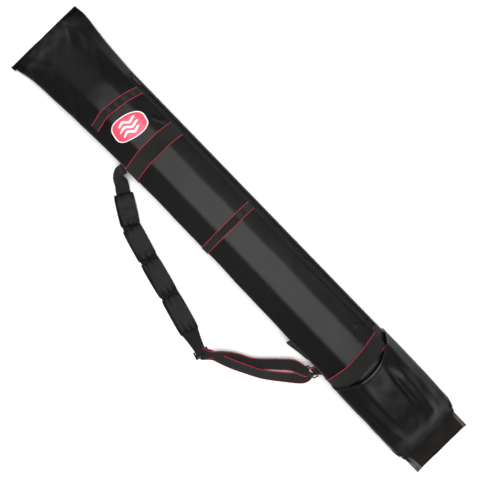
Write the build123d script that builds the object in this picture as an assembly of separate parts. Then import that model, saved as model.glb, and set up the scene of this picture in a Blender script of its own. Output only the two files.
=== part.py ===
from build123d import *
from collections import namedtuple
from math import cos, radians, sin, tan
import os

# A soft padded rod case, lying on its back. X runs along the case from the tip end to the
# butt end, Y runs from the strap side to the zip side, and Z is up, with Z = 0 the ground.
# The origin is on the ground, halfway along the case. Millimetres.

# ---------------------------------------------------------------- driving sizes

tip_end = -896.0
butt_end = 904.0
body_end = 842.0            # where the padded body stops and the flat base panel goes on

fabric = 1.2
foam = 8.0
lining = 0.8
wall = fabric + foam + lining
back_corner = 55.0          # how far in from each side the back lies flat on the ground

# One cross-section of the padded body: the two side seams, the crest of the front panel
# between them, the height of the side seams, and the top and bottom of the section.
Station = namedtuple("Station", "x left right crest seam top low")

seam_height = 50.0
case_top = 110.0
zip_side = 119.0            # the zip side is straight over the length of the zip

stations = [
    Station(tip_end, -135.0, 139.0, 0.0, 15.0, 20.0, 10.0),
    Station(-862.0, -124.0, 140.0, 5.0, 19.0, 34.0, 4.0),
    Station(-825.0, -116.0, 137.0, 9.0, 27.0, 56.0, 0.0),
    Station(-723.0, -110.0, 126.0, 12.0, 40.0, 86.0, 0.0),
    Station(-610.0, -102.0, zip_side, 14.0, seam_height, case_top, 0.0),
    Station(-360.0, -95.0, zip_side, 14.0, seam_height, case_top, 0.0),
    Station(0.0, -96.0, zip_side, 14.0, seam_height, case_top, 0.0),
    Station(465.0, -104.0, zip_side, 14.0, seam_height, case_top, 0.0),
    Station(560.0, -105.0, 120.0, 11.0, 48.0, 105.0, 0.0),
    Station(700.0, -108.0, 121.0, 7.0, 41.0, 90.0, 0.0),
    Station(775.0, -109.0, 119.0, 3.0, 33.0, 62.0, 0.0),
    Station(body_end, -107.0, 108.0, 0.0, 8.0, 14.0, 2.0),
]

cavity_start, cavity_end = -805.0, 785.0

zip_start, zip_end = -600.0, 450.0
zip_angle = 30.0            # how far up the front flank the zip sits, on its ellipse
zip_slot = 22.0
zip_slot_depth = 16.0
tooth_gap = 0.6             # from the zip's centre line to each row of teeth
tooth_width = 2.0

band_thickness = 1.2
narrow_band, wide_band = 25.0, 50.0
bands = {
    "narrow_band_upper": (-548.0, narrow_band),
    "wide_band_upper": (-378.0, wide_band),
    "narrow_band_middle": (-64.0, narrow_band),
    "wide_band_lower": (493.0, wide_band),
}
band_zip_edge = 95.0        # the bands stop at the seam beside the zip
piping_width, piping_height = 1.6, 1.9

badge_place = (-477.0, 2.0)
badge_size = (94.0, 72.0)
badge_turn = 7.0
badge_rim = 5.0

mouth_radius = 195.0
mouth_centre = (333.0, -5.0)
pocket_fabric = 1.4
pocket_gape = 10.0          # how far the pocket's mouth stands off the case
pocket_seam = 841.0

strap_axis_y, strap_axis_z = -118.0, 44.0
anchor_x, ring_x = -412.0, 430.0
web_width, web_thickness = 38.0, 1.8
hinge_room = 2.0
ring_wire = 2.0
ring_width, ring_depth, ring_slope = 44.0, 20.0, 40.0
pad_width, pad_height = 64.0, 15.0

# The strap's line on the ground, from the case's tip end to its butt end.
pad_seams = [(-378, -161), (-284, -218), (-170, -250), (-44, -281), (88, -316)]
glide_place = (159.0, -337.0)


# ---------------------------------------------------------------- the padded body

def section_at(x):
    """The cross-section at any place, in line between the two stations beside it."""
    for a, b in zip(stations, stations[1:]):
        if a.x <= x <= b.x:
            t = (x - a.x) / (b.x - a.x)
            return Station(*[p + t * (q - p) for p, q in zip(a, b)])
    raise ValueError(f"no section at {x}")


def sections(start, end):
    inner = [s for s in stations if start < s.x < end]
    return [section_at(start)] + inner + [section_at(end)]


def section_plane(x):
    return Plane(origin=(x, 0, 0), x_dir=(0, 1, 0), z_dir=(1, 0, 0))


def front_face(s, side, top):
    """The front half of a section: two quarter ellipses over the seam line."""
    rise = s.top + top - s.seam
    centre = (s.crest, s.seam)
    zip_half = EllipticalCenterArc(centre, s.right + side - s.crest, rise, 0, arc_size=90)
    strap_half = EllipticalCenterArc(centre, s.crest - s.left + side, rise, 90, arc_size=90)
    base = Line((s.left - side, s.seam), (s.right + side, s.seam))
    return section_plane(s.x) * make_face([zip_half, strap_half, base])


def front_body(start, end, side=0.0, top=0.0):
    """The front half of the body, grown by side at its seams and by top at its crest."""
    rise = top if callable(top) else lambda x: top
    return loft([front_face(s, side, rise(s.x)) for s in sections(start, end)], ruled=True)


def back_face(s, grow):
    """The back half of a section: flat on the ground, with a quarter ellipse each side."""
    left, right = s.left - grow, s.right + grow
    depth = s.seam - s.low + grow
    corner = min(back_corner, 0.45 * (s.right - s.left)) + grow
    strap_half = EllipticalCenterArc((left + corner, s.seam), corner, depth, 180, arc_size=90)
    zip_half = EllipticalCenterArc((right - corner, s.seam), corner, depth, 270, arc_size=90)
    ground = Line((left + corner, s.low - grow), (right - corner, s.low - grow))
    base = Line((left, s.seam), (right, s.seam))
    return section_plane(s.x) * make_face([strap_half, ground, zip_half, base])


def back_body(start, end, grow=0.0):
    return loft([back_face(s, grow) for s in sections(start, end)], ruled=True)


def span(start, end, y_low=-400.0, y_high=400.0, z_low=-50.0, z_high=300.0):
    """A plain block between two places along the case, to cut with."""
    size = (end - start, y_high - y_low, z_high - z_low)
    centre = ((start + end) / 2, (y_low + y_high) / 2, (z_low + z_high) / 2)
    return Pos(*centre) * Box(*size)


def flank_plane():
    """The plane that the zip lies in: x along the case, z out of its front flank."""
    s = section_at(0.0)
    across, rise = s.right - s.crest, s.top - s.seam
    turn = radians(zip_angle)
    outward = Vector(0, rise * cos(turn), across * sin(turn))
    place = (0, s.crest + across * cos(turn), s.seam + rise * sin(turn))
    return Plane(origin=place, x_dir=(1, 0, 0), z_dir=outward)


def on_flank(x0, x1, y0, y1, z0, z1):
    """A block in the zip's plane, from its lowest to its highest corner."""
    block = Box(x1 - x0, y1 - y0, z1 - z0)
    return flank_plane() * Pos((x0 + x1) / 2, (y0 + y1) / 2, (z0 + z1) / 2) * block


def body_layers():
    slot = on_flank(zip_start, zip_end, -zip_slot / 2, zip_slot / 2, -zip_slot_depth, 8)
    skin, padding = (tip_end + 7, body_end - 5), (cavity_start - 5, cavity_end + 5)
    core = (cavity_start, cavity_end)
    grown = {
        "shell": ((tip_end, body_end), 0.0, skin, fabric),
        "foam": (padding, fabric, padding, fabric + foam),
        "lining": (padding, fabric + foam, padding, wall),
    }
    parts = {}
    for layer, (outer_span, outer, inner_span, inner) in grown.items():
        front = front_body(*outer_span, -outer, -outer) - front_body(*inner_span, -inner, -inner)
        parts["front_" + layer] = front - slot
        parts["back_" + layer] = back_body(*outer_span, -outer) - back_body(*inner_span, -inner)
    parts["tip_pad"] = end_pad(skin[0], core[0] - 5)
    parts["butt_pad"] = end_pad(core[1] + 5, skin[1])
    return parts


def end_pad(start, end):
    """A foam block that fills the fabric at one end of the case, past the lining."""
    return front_body(start, end, -fabric, -fabric) + back_body(start, end, -fabric)


# ---------------------------------------------------------------- ends of the case

def end_pieces():
    binding_height, binding_depth = 12.0, 6.0
    s = stations[0]
    binding = Box(binding_depth, s.right - s.left + 4, binding_height)
    panel_low, panel_high = 3.0, 7.0
    half = section_at(body_end).right - 3
    parts = {
        "tip_binding": Pos(s.x - binding_depth / 2, 0, s.seam) * binding,
        "base_panel": span(body_end, butt_end - 3, -half, half, panel_low, panel_high),
        "base_binding": span(butt_end - 3, butt_end, -half - 3, half + 3, 2.0, 8.0),
    }
    for name, side in (("base_gusset_left", -1), ("base_gusset_right", 1)):
        corner = [
            (body_end, side * half),
            (butt_end - 3, side * half),
            (butt_end - 10, side * (half + 5)),
            (body_end, side * (half + 5)),
        ]
        flap = extrude(make_face(Polyline(corner, close=True)), 5)
        parts[name] = Pos(0, 0, 2.5) * flap
    return parts


# ---------------------------------------------------------------- the zip

def zip_pieces():
    reach = zip_slot / 2
    first, last = zip_start + 6, zip_end - 6
    inner = tooth_gap + tooth_width
    parts = {}
    for name, side in (("front", -1), ("back", 1)):
        tape = sorted((side * reach, side * inner))
        teeth = sorted((side * inner, side * tooth_gap))
        parts["zip_tape_" + name] = on_flank(zip_start, zip_end, *tape, -2.0, -1.0)
        parts["zip_teeth_" + name] = on_flank(first, last, *teeth, -2.2, -0.4)
    for name, x in (("zip_top_stop", zip_start + 2), ("zip_bottom_stop", zip_end - 6)):
        parts[name] = on_flank(x, x + 4, -inner, inner, -3.0, 0.2)
    parts.update(slider_pieces(first + 9))
    return parts


def slider_pieces(x):
    """The slider, closed at the tip end, and its pull, which lies along the zip."""
    plate_width, plate_half = 5.0, 7.0
    eye_height, pin = 3.4, 0.8
    top_plate = on_flank(x - plate_half, x + plate_half, -plate_width, plate_width, 0.1, 1.3)
    under_plate = on_flank(x - plate_half, x + plate_half, -plate_width, plate_width, -4.0, -2.7)
    post = on_flank(x - 5, x + 1, -0.35, 0.35, -2.7, 0.1)
    lug = on_flank(x - 2.5, x + 2.5, -1.5, 1.5, 1.3, eye_height + 2.2)
    across = flank_plane() * Pos(x, 0, eye_height) * Rot(90, 0, 0)
    slider = top_plate + under_plate + post + lug - across * Cylinder(pin + 0.06, 8)
    arms = [
        on_flank(x - pin, x + 6, *sorted((side * 1.9, side * 3.3)), eye_height - pin, eye_height + pin)
        for side in (-1, 1)
    ]
    tongue = on_flank(x + 5, x + 34, -3.6, 3.6, eye_height - 0.7, eye_height + 0.7)
    pull = across * Cylinder(pin, 6.6) + arms + tongue
    return {"zip_slider": slider, "zip_pull": pull}


# ---------------------------------------------------------------- bands and badge

def over_front(start, end, under, over):
    """A layer on the front panel, between two heights over it, up to the zip seam."""
    layer = front_body(start, end, over, over) - front_body(start - 1, end + 1, under, under)
    return layer & span(start - 1, end + 1, y_high=band_zip_edge)


def band_pieces():
    parts = {}
    for name, (centre, width) in bands.items():
        start, end = centre - width / 2, centre + width / 2
        parts[name] = over_front(start, end, 0, band_thickness)
        edges = [
            over_front(start - piping_width, start, 0, piping_height),
            over_front(end, end + piping_width, 0, piping_height),
        ]
        if name == "wide_band_lower":       # its lower edge is under the pocket
            edges = edges[:1]
        parts[name + "_piping"] = Compound(edges)
    return parts


def badge_pieces():
    start, end = badge_place[0] - 60, badge_place[0] + 60
    place = Pos(*badge_place, 0) * Rot(0, 0, badge_turn)
    outline = RectangleRounded(*badge_size, 16)
    middle = RectangleRounded(badge_size[0] - 2 * badge_rim, badge_size[1] - 2 * badge_rim, 11)
    outer, inner = place * extrude(outline, 200), place * extrude(middle, 200)
    return {
        "badge_rim": over_front(start, end, 0, 2.2) & (outer - inner),
        "badge_patch": over_front(start, end, 0, 1.6) & inner,
    }


# ---------------------------------------------------------------- butt pocket

def pocket_gap(x):
    """How far the pocket's crest stands off the case, down to nothing at its seam."""
    mouth = mouth_centre[0] + mouth_radius
    closed = min(max((x - mouth) / (pocket_seam - mouth), 0), 1)
    return 1.6 + pocket_gape * (1 - closed)


def pocket_layer(start, under, over):
    """A layer that wraps the pocket, from one height to another over its inner face."""
    outer = front_body(start, pocket_seam, 1.6 + over, lambda x: pocket_gap(x) + over)
    inner = front_body(start - 2, body_end, 1.6 + under, lambda x: pocket_gap(x) + under)
    return outer - inner


def pocket_pieces():
    start = 476.0
    mouth = Pos(*mouth_centre, 100) * Cylinder(mouth_radius, 300)
    hem_line = Pos(*mouth_centre, 100) * Cylinder(mouth_radius + 9, 300)
    panel = pocket_layer(start, 0, pocket_fabric) - mouth
    hem = (pocket_layer(start, pocket_fabric, pocket_fabric + 1.0) - mouth - panel) & hem_line
    return {"pocket_panel": panel, "pocket_hem": hem}


# ---------------------------------------------------------------- inside the case

def rod_ties():
    """Two webbing straps that hold the rods down, flat on the back lining."""
    parts = {}
    for name, x in (("rod_tie_upper", -300.0), ("rod_tie_lower", 300.0)):
        parts[name] = Pos(x, 10, wall + 1.6) * Box(25, 118, 1.6)
    return parts


# ---------------------------------------------------------------- the shoulder strap

def web(points, width, thickness=web_thickness):
    """Webbing along straight runs between points, level across its width."""
    runs = []
    for i, (a, b) in enumerate(zip(points, points[1:])):
        a, b = Vector(*a), Vector(*b)
        along = b - a
        across = Vector(-along.Y, along.X, 0)
        lap_a = lap(points, i, width)
        lap_b = lap(points, i + 1, width)
        middle = (a + b) / 2 + along.normalized() * (lap_b - lap_a) / 2
        face = Plane(origin=middle, x_dir=along, z_dir=along.cross(across))
        runs.append(face * Box(along.length + lap_a + lap_b, width, thickness))
    return runs[0] + runs[1:] if len(runs) > 1 else runs[0]


def lap(points, i, width):
    """How far two runs pass their shared point, to close the corner between them."""
    if i in (0, len(points) - 1):
        return 0.0
    before = Vector(*points[i]) - Vector(*points[i - 1])
    after = Vector(*points[i + 1]) - Vector(*points[i])
    turn = Vector(before.X, before.Y, 0).get_angle(Vector(after.X, after.Y, 0))
    return width / 2 * tan(radians(turn / 2)) + 0.4


def case_solid():
    return front_body(tip_end, body_end) + back_body(tip_end, body_end)


def anchor_pieces(case):
    """The webbing sewn into the strap-side seam: the strap's anchor, and two loops."""
    z = strap_axis_z
    half = web_width / 2
    anchor = span(anchor_x - half, anchor_x + half, strap_axis_y + hinge_room, -90, z - 0.9, z + 0.9)
    outer, room = 3.8, ring_wire + 0.3
    tab = span(ring_x - 13, ring_x + 13, strap_axis_y, -100, z - outer, z + outer)
    bend = Pos(ring_x, strap_axis_y, z) * Rot(0, 90, 0) * Cylinder(outer, 26)
    hole = Pos(ring_x, strap_axis_y, z) * Rot(0, 90, 0) * Cylinder(room, 40)
    side_loop = span(308, 348, -123, -100, 48.8, 51.2)
    return {
        "strap_anchor": anchor - case,
        "ring_tab": tab + bend - hole - case,
        "side_loop": side_loop - case,
    }


def ring_plane():
    """The ring's own plane: x along its bars, y out from the case and down."""
    slope = radians(ring_slope)
    outward = Vector(0, -cos(slope), -sin(slope))
    origin = (ring_x, strap_axis_y, strap_axis_z)
    return Plane(origin=origin, x_dir=(-1, 0, 0), z_dir=Vector(-1, 0, 0).cross(outward))


def strap_ring():
    half = ring_width / 2
    bar = Rot(0, 90, 0) * Cylinder(ring_wire, ring_width)
    side = Rot(90, 0, 0) * Cylinder(ring_wire, ring_depth)
    ring = bar + Pos(0, ring_depth, 0) * bar
    for x in (-half, half):
        ring += Pos(x, ring_depth / 2, 0) * side
        ring += [Pos(x, y, 0) * Sphere(ring_wire) for y in (0, ring_depth)]
    return ring_plane() * ring


def web_loop():
    """The webbing's turn round the ring's outer bar, open away from the case."""
    inner = ring_wire + 0.3
    outer = inner + 1.6
    sleeve = Cylinder(outer, 34) - Cylinder(inner, 34)
    half = Pos(-outer, 0, 0) * Box(2 * outer, 2 * outer, 40)
    turned = Rot(0, 0, 90) * (sleeve & half)
    return ring_plane() * Pos(0, ring_depth, 0) * Rot(0, 90, 0) * Rot(0, 0, 90) * turned


def ring_end(side):
    """Where a ply of webbing meets its turn round the ring."""
    offset = ring_wire + 0.3 + web_thickness / 2
    return tuple(ring_plane().from_local_coords(Vector(0, ring_depth + 1, side * offset)))


def glide():
    """A three-bar slide buckle with two slots, square to the pad's end."""
    long, short, high = 48.0, 24.0, 3.0
    frame = Box(short, long, high)
    slots = [Pos(x, 0, 0) * Box(5, 40, 10) for x in (-6, 6)]
    run = Vector(*glide_place) - Vector(*pad_seams[-1])
    angle = Vector(1, 0, 0).get_signed_angle(run, Vector(0, 0, 1))
    return Pos(*glide_place, 4.6) * Rot(0, 0, angle) * fillet((frame - slots).edges().filter_by(Axis.Z), 1)


def strap_pieces():
    base = web_thickness / 2
    neck_start = (anchor_x, strap_axis_y - hinge_room, strap_axis_z)
    pad_start = (*pad_seams[0], base)
    neck = [neck_start, (anchor_x, -140, 22), (-422, -160, base + 1)]
    turn = [(-446, -146, base), pad_start]
    parts = {"strap_web_upper": web(neck, 30) + web(turn, web_width)}

    backing = [(*p, base) for p in pad_seams]
    parts["pad_backing"] = web(backing, pad_width - 4) - parts["strap_web_upper"]
    for i, (a, b) in enumerate(zip(pad_seams, pad_seams[1:]), 1):
        a, b = Vector(*a), Vector(*b)
        angle = Vector(1, 0, 0).get_signed_angle(b - a, Vector(0, 0, 1))
        block = Box((b - a).length - 9, pad_width, pad_height)
        block = fillet(block.edges(), 5)
        middle = (a + b) / 2 + Vector(0, 0, web_thickness + 0.3 + pad_height / 2)
        parts[f"shoulder_pad_{i}"] = Pos(*middle) * Rot(0, 0, angle) * block

    parts["tri_glide"] = glide()
    outer_run = [
        (*glide_place, 7.2),
        (245, -264, 3.4),
        (349, -187, 3.4),
        (398, -153, 14),
        ring_end(1),
    ]
    inner_run = [(*glide_place, 1.0), (277, -287, 1.0), (366, -227, 1.0), (424, -160, 8), ring_end(-1)]
    lead = web([(*pad_seams[-1], base), (*glide_place, base)], web_width)
    ring = strap_ring()
    outer_web = web(outer_run, web_width - 6) + web_loop() - ring - parts["tri_glide"]
    inner_web = web(inner_run, web_width - 6) - ring - parts["tri_glide"] - outer_web
    parts["strap_web_outer"] = outer_web
    parts["strap_web_inner"] = inner_web
    parts["strap_web_lower"] = lead - parts["pad_backing"] - inner_web
    parts["strap_ring"] = ring
    return parts


# ---------------------------------------------------------------- write every node

def main():
    parts = body_layers()
    parts.update(end_pieces())
    parts.update(zip_pieces())
    parts.update(band_pieces())
    parts.update(badge_pieces())
    parts.update(pocket_pieces())
    parts.update(rod_ties())
    parts.update(anchor_pieces(case_solid()))
    parts.update(strap_pieces())
    os.makedirs("parts", exist_ok=True)
    for name, shape in parts.items():
        export_step(shape, f"parts/{name}.step")


main()
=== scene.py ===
import bpy
import math
import numpy as np
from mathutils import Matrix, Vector
from mathutils.bvhtree import BVHTree


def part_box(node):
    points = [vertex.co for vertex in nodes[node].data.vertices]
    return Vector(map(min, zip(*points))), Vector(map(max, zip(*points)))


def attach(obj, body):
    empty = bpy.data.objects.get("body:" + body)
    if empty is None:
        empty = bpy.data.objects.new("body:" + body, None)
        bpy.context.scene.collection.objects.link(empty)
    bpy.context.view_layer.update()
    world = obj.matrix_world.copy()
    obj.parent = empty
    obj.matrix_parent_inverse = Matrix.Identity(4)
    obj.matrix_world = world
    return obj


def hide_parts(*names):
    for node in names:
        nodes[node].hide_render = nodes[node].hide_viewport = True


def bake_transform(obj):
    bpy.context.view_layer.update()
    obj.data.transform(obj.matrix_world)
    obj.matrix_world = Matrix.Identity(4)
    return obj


# A soft padded rod case lying on its back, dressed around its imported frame. Metres; X runs from
# the tip end to the butt end, Y from the strap side to the zip side, Z up.

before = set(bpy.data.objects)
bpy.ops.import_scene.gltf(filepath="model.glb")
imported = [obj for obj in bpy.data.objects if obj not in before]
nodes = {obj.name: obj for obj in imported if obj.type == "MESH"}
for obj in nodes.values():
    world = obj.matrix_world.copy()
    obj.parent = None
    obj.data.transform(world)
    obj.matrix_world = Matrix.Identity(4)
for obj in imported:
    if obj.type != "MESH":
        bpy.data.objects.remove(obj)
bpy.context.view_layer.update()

MM = 0.001
FABRIC = 1.2 * MM
WEB_THICKNESS = 1.6 * MM
WEB_WIDTH = 38 * MM
PIPING = 1.9 * MM


# ---------------------------------------------------------------- node materials

def shader(name, colour, roughness, specular=0.5, metallic=0.0, sheen=0.0, coat=0.0):
    """A material with one Principled shader, and the node tree to add detail to."""
    material = bpy.data.materials.new(name)
    material.use_nodes = True
    tree = material.node_tree
    surface = tree.nodes["Principled BSDF"]
    surface.inputs["Base Color"].default_value = (*colour, 1)
    surface.inputs["Roughness"].default_value = roughness
    surface.inputs["Specular IOR Level"].default_value = specular
    surface.inputs["Metallic"].default_value = metallic
    surface.inputs["Sheen Weight"].default_value = sheen
    surface.inputs["Coat Weight"].default_value = coat
    return material, tree, surface


def node(tree, kind, **inputs):
    made = tree.nodes.new(kind)
    for name, value in inputs.items():
        made.inputs[name.replace("_", " ")].default_value = value
    return made


def math_node(tree, operation, a, b=None):
    made = tree.nodes.new("ShaderNodeMath")
    made.operation = operation
    for socket, value in zip(made.inputs, (a, b)):
        if isinstance(value, (int, float)):
            socket.default_value = value
        elif value is not None:
            tree.links.new(value, socket)
    return made.outputs[0]


def add_variation(tree, surface, vector, dark, light, scale):
    """Slow changes of colour over the cloth, as from handling and dust."""
    noise = node(tree, "ShaderNodeTexNoise", Scale=scale, Detail=4.0, Roughness=0.6)
    tree.links.new(vector, noise.inputs["Vector"])
    ramp = tree.nodes.new("ShaderNodeValToRGB")
    ramp.color_ramp.elements[0].position = 0.3
    ramp.color_ramp.elements[0].color = (*dark, 1)
    ramp.color_ramp.elements[1].position = 0.72
    ramp.color_ramp.elements[1].color = (*light, 1)
    tree.links.new(noise.outputs["Fac"], ramp.inputs["Fac"])
    tree.links.new(ramp.outputs["Color"], surface.inputs["Base Color"])
    return noise


def weave_height(tree, vector, pitch_u, pitch_v):
    """A plain weave: threads one way over threads the other way, from their two waves."""
    parts = tree.nodes.new("ShaderNodeSeparateXYZ")
    tree.links.new(vector, parts.inputs[0])
    warp = math_node(tree, "SINE", math_node(tree, "MULTIPLY", parts.outputs[0], math.tau / pitch_u))
    weft = math_node(tree, "SINE", math_node(tree, "MULTIPLY", parts.outputs[1], math.tau / pitch_v))
    return math_node(tree, "MULTIPLY", warp, weft)


def cloth(name, dark, light, roughness, pitch, bump, specular=0.4, sheen=0.0, crease=0.0, dull=None):
    """Woven fabric. Its threads follow each mesh's own cloth coordinates, in metres.

    dull lowers the gloss towards one end of the case, over a stretch of it: from, to, specular.
    How dark the ends look is all that it follows. The exported model has the plain gloss.
    """
    material, tree, surface = shader(name, dark, roughness, specular, sheen=sheen)
    surface.inputs["Sheen Roughness"].default_value = 0.4
    place = tree.nodes.new("ShaderNodeAttribute")
    place.attribute_name = "cloth"
    vector = place.outputs["Vector"]
    add_variation(tree, surface, vector, dark, light, 26.0)
    if dull:
        parts = tree.nodes.new("ShaderNodeSeparateXYZ")
        tree.links.new(vector, parts.inputs[0])
        fade = tree.nodes.new("ShaderNodeMapRange")
        fade.inputs["From Min"].default_value, fade.inputs["From Max"].default_value = dull[:2]
        fade.inputs["To Min"].default_value, fade.inputs["To Max"].default_value = specular, dull[2]
        tree.links.new(parts.outputs[0], fade.inputs["Value"])
        tree.links.new(fade.outputs["Result"], surface.inputs["Specular IOR Level"])
    height = weave_height(tree, vector, pitch[0], pitch[1])
    if crease:
        wrinkle = node(tree, "ShaderNodeTexNoise", Scale=42.0, Detail=5.0, Roughness=0.62)
        wrinkle.inputs["Distortion"].default_value = 0.6
        tree.links.new(vector, wrinkle.inputs["Vector"])
        height = math_node(tree, "ADD", height, math_node(tree, "MULTIPLY", wrinkle.outputs["Fac"], crease))
    relief = node(tree, "ShaderNodeBump", Strength=bump, Distance=0.0004)
    tree.links.new(height, relief.inputs["Height"])
    tree.links.new(relief.outputs["Normal"], surface.inputs["Normal"])
    return material


def solid_finish(name, colour, roughness, specular=0.5, metallic=0.0, coat=0.0, grain=900.0, bump=0.15):
    """Moulded or painted, with a fine grain and a little wear in its roughness."""
    material, tree, surface = shader(name, colour, roughness, specular, metallic, coat=coat)
    place = tree.nodes.new("ShaderNodeTexCoord")
    lighter = tuple(min(1, 1.35 * c + 0.004) for c in colour)
    add_variation(tree, surface, place.outputs["Object"], colour, lighter, 60.0)
    noise = node(tree, "ShaderNodeTexNoise", Scale=grain, Detail=3.0)
    tree.links.new(place.outputs["Object"], noise.inputs["Vector"])
    relief = node(tree, "ShaderNodeBump", Strength=bump, Distance=0.0003)
    tree.links.new(noise.outputs["Fac"], relief.inputs["Height"])
    tree.links.new(relief.outputs["Normal"], surface.inputs["Normal"])
    worn = tree.nodes.new("ShaderNodeMapRange")
    worn.inputs["To Min"].default_value = roughness * 0.8
    worn.inputs["To Max"].default_value = min(1, roughness * 1.25)
    tree.links.new(noise.outputs["Fac"], worn.inputs["Value"])
    tree.links.new(worn.outputs["Result"], surface.inputs["Roughness"])
    return material


SHELL = cloth("shell_nylon", (0.0028, 0.0025, 0.0033), (0.0042, 0.0038, 0.0048), 0.39,
              (0.0009, 0.0009), 0.14, specular=0.235, crease=0.8, dull=(-0.80, -0.86, 0.05))
POCKET = cloth("pocket_nylon", (0.0028, 0.0026, 0.0028), (0.0042, 0.0039, 0.004), 0.38,
               (0.0006, 0.0006), 0.12, specular=0.29, crease=0.7, dull=(0.74, 0.80, 0.05))
BASE = cloth("base_fabric", (0.0055, 0.0045, 0.0036), (0.008, 0.0066, 0.0054), 0.45,
             (0.0008, 0.0008), 0.3, specular=0.14, crease=0.8)
# The gusset cloth's pale grey colour is a painted highlight, for the glint on the shiny folds at the butt
# corners.
GUSSET_PAINTED_HIGHLIGHT = cloth("gusset_fabric", (0.045, 0.04, 0.036), (0.13, 0.117, 0.105), 0.35,
               (0.0008, 0.0008), 0.3, specular=0.3, crease=1.2)
LINING = cloth("lining_fabric", (0.03, 0.03, 0.032), (0.045, 0.045, 0.048), 0.7, (0.0007, 0.0007), 0.3)
WEBBING = cloth("webbing", (0.005, 0.0052, 0.005), (0.0085, 0.0086, 0.0082), 0.58,
                (0.0022, 0.0016), 0.8, specular=0.3)
OLIVE = cloth("olive_webbing", (0.018, 0.016, 0.009), (0.032, 0.029, 0.018), 0.6,
              (0.0016, 0.0012), 0.8, specular=0.25)
RED = cloth("red_edging", (0.34, 0.014, 0.03), (0.46, 0.028, 0.05), 0.55, (0.0016, 0.0016), 0.5,
            specular=0.3)
PAD = cloth("strap_pad_nylon", (0.0036, 0.0033, 0.004), (0.0052, 0.0048, 0.0057), 0.42,
            (0.0009, 0.0009), 0.14, specular=0.11, crease=0.9)
TAPE = cloth("zip_tape", (0.004, 0.004, 0.004), (0.007, 0.007, 0.007), 0.7, (0.0008, 0.0012), 0.6,
             specular=0.15)
THREAD = cloth("black_thread", (0.009, 0.009, 0.0095), (0.014, 0.014, 0.015), 0.5, (0.0006, 0.0006), 0.4,
               specular=0.25)
BADGE_RED = solid_finish("badge_red", (0.74, 0.06, 0.11), 0.42, grain=500, bump=0.25)
BADGE_PALE = solid_finish("badge_pale", (0.86, 0.78, 0.78), 0.45, grain=500, bump=0.25)
FOAM = solid_finish("foam", (0.25, 0.25, 0.26), 0.8, 0.1, grain=700, bump=0.6)
COIL = solid_finish("zip_nylon", (0.008, 0.008, 0.008), 0.35, 0.3)
BLACK_METAL = solid_finish("black_metal", (0.010, 0.010, 0.011), 0.3, 0.4, metallic=0.2, coat=0.12)
BUCKLE = solid_finish("buckle_acetal", (0.006, 0.006, 0.006), 0.42, 0.22)


# ---------------------------------------------------------------- mesh helpers

def make_object(name, points, faces, material, cloth_at=None):
    mesh = bpy.data.meshes.new(name)
    mesh.from_pydata([tuple(p) for p in points], [], faces)
    mesh.polygons.foreach_set("use_smooth", [True] * len(mesh.polygons))
    mesh.materials.append(material)
    if cloth_at is not None:
        layer = mesh.attributes.new("cloth", "FLOAT_VECTOR", "POINT")
        flat = np.zeros((len(points), 3), np.float32)
        flat[:, :2] = cloth_at
        layer.data.foreach_set("vector", flat.ravel())
    mesh.update()
    made = bpy.data.objects.new(name, mesh)
    bpy.context.scene.collection.objects.link(made)
    return made


def tube_faces(rings, sides, base=0):
    """The faces of rings of points, one after the other, with a cap on each end."""
    faces = []
    for i in range(rings - 1):
        for j in range(sides):
            p, q = base + i * sides + j, base + i * sides + (j + 1) % sides
            faces.append((p, q, q + sides, p + sides))
    faces.append(tuple(base + j for j in reversed(range(sides))))
    faces.append(tuple(base + (rings - 1) * sides + j for j in range(sides)))
    return faces


def sharpen(made, degrees=50):
    """Keeps the edges of a thick sheet crisp while its faces stay smooth."""
    bpy.context.view_layer.objects.active = made
    made.select_set(True)
    bpy.ops.object.shade_smooth_by_angle(angle=math.radians(degrees))
    made.select_set(False)
    return made


def grid_normals(points, wrap=False):
    along = np.gradient(points, axis=0)
    if wrap:
        across = np.roll(points, -1, axis=1) - np.roll(points, 1, axis=1)
    else:
        across = np.gradient(points, axis=1)
    normal = np.cross(along, across)
    length = np.linalg.norm(normal, axis=2, keepdims=True)
    return normal / np.maximum(length, 1e-12)


def thick_sheet(name, outer, inner, material, cloth_at, mask=None, wrap=False):
    """A closed sheet between two grids of points. mask says which of its cells are cloth."""
    rows, columns = outer.shape[:2]
    cell_columns = columns if wrap else columns - 1
    if mask is None:
        mask = np.ones((rows - 1, cell_columns), bool)
    count = rows * columns

    def corner(i, j):
        return i * columns + j % columns

    faces = []
    for i in range(rows - 1):
        for j in np.nonzero(mask[i])[0]:
            j = int(j)
            a, b, c, d = corner(i, j), corner(i, j + 1), corner(i + 1, j + 1), corner(i + 1, j)
            faces.append((a, d, c, b))
            faces.append((count + a, count + b, count + c, count + d))
            left = (j - 1) % cell_columns if wrap else j - 1
            right = (j + 1) % cell_columns if wrap else j + 1
            if i == 0 or not mask[i - 1, j]:
                faces.append((a, b, count + b, count + a))
            if i == rows - 2 or not mask[i + 1, j]:
                faces.append((c, d, count + d, count + c))
            if left < 0 or not mask[i, left]:
                faces.append((d, a, count + a, count + d))
            if right >= cell_columns or not mask[i, right]:
                faces.append((b, c, count + c, count + b))
    points = np.concatenate([outer.reshape(-1, 3), inner.reshape(-1, 3)])
    both = np.concatenate([cloth_at.reshape(-1, 2)] * 2)
    used = np.zeros(len(points), bool)
    used[np.array([p for face in faces for p in face])] = True
    index = np.cumsum(used) - 1
    faces = [tuple(int(index[p]) for p in face) for face in faces]
    made = make_object(name, points[used], faces, material, both[used])
    return sharpen(made)


def smoothstep(low, high, x):
    t = np.clip((x - low) / (high - low), 0, 1)
    return t * t * (3 - 2 * t)


def ripple(x, y, wavelength, seed):
    """Soft uneven waves from 0 mean, about 1 high, the same each run."""
    random = np.random.RandomState(seed)
    total = np.zeros(np.broadcast(x, y).shape)
    for _ in range(9):
        angle, phase = random.uniform(0, math.pi), random.uniform(0, math.tau)
        k = math.tau / (wavelength * random.uniform(0.7, 1.6))
        total += np.sin(k * (x * math.cos(angle) + y * math.sin(angle)) + phase)
    return total / 3.0


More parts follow.
